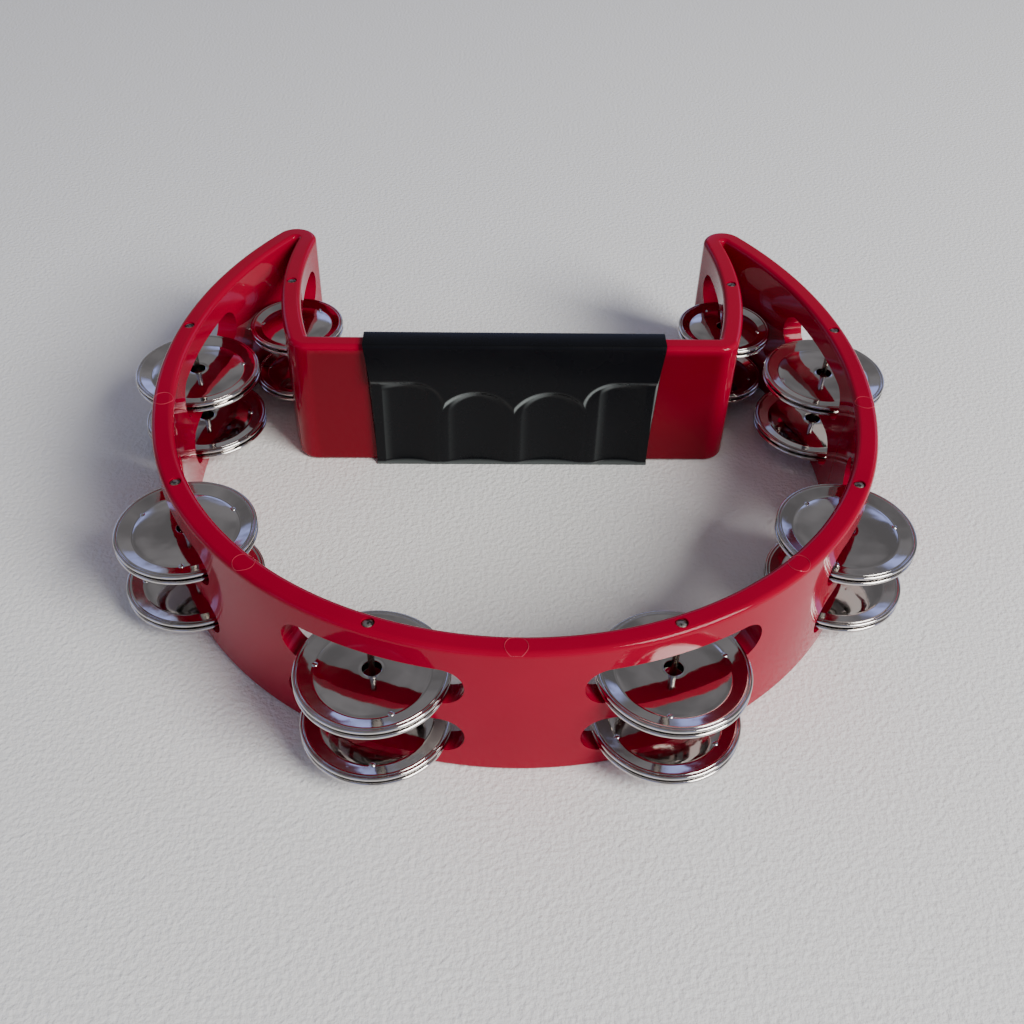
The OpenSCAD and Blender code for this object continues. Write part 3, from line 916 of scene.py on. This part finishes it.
def makeFloor(look):
    bm = bmesh.new()
    bmesh.ops.create_grid(bm, x_segments=1, y_segments=1, size=look["size"])
    floor = newObject("floor", bm)
    material, tree, place = newMaterial("palePaper")
    grain = addNode(tree, "ShaderNodeTexNoise", values={"Scale": 1000 / look["grainSize"], "Detail": 2.0},
                    links={"Vector": place})
    bump = addNode(tree, "ShaderNodeBump",
                   values={"Strength": look["grainStrength"], "Distance": look["grainDeep"]},
                   links={"Height": grain.outputs["Fac"]})
    shader = addNode(tree, "ShaderNodeBsdfPrincipled",
                     values={"Base Color": linearColour(look["colour"]), "Roughness": 0.7},
                     links={"Normal": bump.outputs["Normal"]})
    addNode(tree, "ShaderNodeOutputMaterial", links={"Surface": shader.outputs["BSDF"]})
    floor.data.materials.append(material)
    floor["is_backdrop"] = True


def makeLight(name, look):
    data = bpy.data.lights.new(name, "AREA")
    data.shape = "RECTANGLE"
    data.size, data.size_y = look["size"]
    data.energy = look["power"]
    data.color = linearColour(look["colour"])[:3]
    lamp = bpy.data.objects.new(name, data)
    bpy.context.scene.collection.objects.link(lamp)
    place = Vector(look["place"])
    lamp.matrix_world = Matrix.Translation(place) @ (-place).to_track_quat("-Z", "Y").to_matrix().to_4x4()


def makeRoom(look):
    world = bpy.data.worlds.new("room")
    bpy.context.scene.world = world
    world.use_nodes = True
    tree = world.node_tree
    tree.nodes.clear()
    place = addNode(tree, "ShaderNodeTexCoord")
    axes = addNode(tree, "ShaderNodeSeparateXYZ", links={"Vector": place.outputs["Generated"]})
    low, high = (math.sin(math.radians(look[key])) for key in ("paneLow", "paneHigh"))
    turn = addNode(tree, "ShaderNodeMath", {"operation": "ARCTAN2"},
                   links={0: axes.outputs["Y"], 1: axes.outputs["X"]})
    count = addNode(tree, "ShaderNodeMath", {"operation": "MULTIPLY"}, {1: look["panes"]},
                    {0: turn.outputs["Value"]})
    wave = addNode(tree, "ShaderNodeMath", {"operation": "SINE"}, links={0: count.outputs["Value"]})
    cloud = addNode(tree, "ShaderNodeTexNoise", values={"Scale": 5.0, "Detail": 2.0},
                    links={"Vector": place.outputs["Generated"]})
    share = shareOf(tree, ((axes.outputs["Z"], low - 0.03, low + 0.03),
                           (axes.outputs["Z"], high + 0.06, high - 0.02),
                           (wave.outputs["Value"], -0.7, 0.1), (cloud.outputs["Fac"], 0.3, 0.62)))
    shade = addNode(tree, "ShaderNodeTexNoise", values={"Scale": 2.6, "Detail": 2.0},
                    links={"Vector": place.outputs["Generated"]})
    wall = addNode(tree, "ShaderNodeMix", {"data_type": "RGBA"},
                   {"A": linearColour(look["wall"]), "B": linearColour(look["ceiling"])},
                   {"Factor": shareOf(tree, ((shade.outputs["Fac"], 0.35, 0.65),))})
    pane = [c * look["paneStrength"] for c in linearColour(look["pane"])]
    colour = addNode(tree, "ShaderNodeMix", {"data_type": "RGBA"}, {"B": pane},
                     {"Factor": share, "A": wall.outputs["Result"]})
    light = addNode(tree, "ShaderNodeBackground", links={"Color": colour.outputs["Result"]})
    addNode(tree, "ShaderNodeOutputWorld", links={"Surface": light.outputs["Background"]})


makeFloor(floorLook)
makeLight("window", windowLook)
makeRoom(roomLook)
print("floor and light")


def shownVertices():
    bpy.context.view_layer.update()
    points = []
    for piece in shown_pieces():
        points += [piece.matrix_world @ v.co for v in piece.data.vertices]
    return points


# where the pip nearest an image point shows
def pipInPhoto(node, key):
    low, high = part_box(node)
    pin = Vector(((low.x + high.x) / 2, (low.y + high.y) / 2, 0))
    at = jingleShape["pipAt"] * (high.x - low.x) / 2
    disc = bpy.data.objects["disc_" + node.replace("jingle_", "")]
    tops = [v.co for v in disc.data.vertices
            if v.co.z > low.z + (jingleShape["sheet"] + jingleShape["pipHigh"] - 0.03) * mm
            and abs(math.hypot(v.co.x - pin.x, v.co.y - pin.y) - at) < 0.4 * mm]
    return min((inPhoto(p) for p in tops), key=lambda p: math.dist(p, imagePoints[key]))


def pointErrors():
    shown = [inPhoto(p) for p in shownVertices()]
    found = {
        "objectLeft": (min(p[0] for p in shown), None),
        "objectRight": (max(p[0] for p in shown), None),
        "objectTop": (None, min(p[1] for p in shown)),
        "objectBottom": (None, max(p[1] for p in shown)),
    }
    for name in stations:
        side = name.split("_")
        key = "pin" + side[0].capitalize() + side[1].capitalize()
        low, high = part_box("pin_" + name)
        found[key] = inPhoto((low.x / 2 + high.x / 2, low.y / 2 + high.y / 2, high.z))
    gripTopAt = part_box("grip")[1].z
    gripTop = [v.co for v in gripSleeve.data.vertices if v.co.z > gripTopAt - 1 * mm]
    found["gripTopLeft"] = min((inPhoto(p) for p in gripTop), key=lambda p: p[0] + 3 * p[1])
    found["gripTopRight"] = max((inPhoto(p) for p in gripTop), key=lambda p: p[0] - 3 * p[1])
    for node, key in jinglePips.items():
        found[key] = pipInPhoto(node, key)
    mark = [v.co for v in ejectorMarks.data.vertices if abs(v.co.x) < 2 * f["markWide"]]
    found["markFront"] = inPhoto(sum(mark, Vector()) / len(mark))
    errors = {}
    for key, wanted in imagePoints.items():
        errors[key] = [None if want is None or got is None else round(got - want, 2)
                       for want, got in zip(wanted, found.get(key, (None, None)))]
    return errors


errors = pointErrors()
print("points", errors)
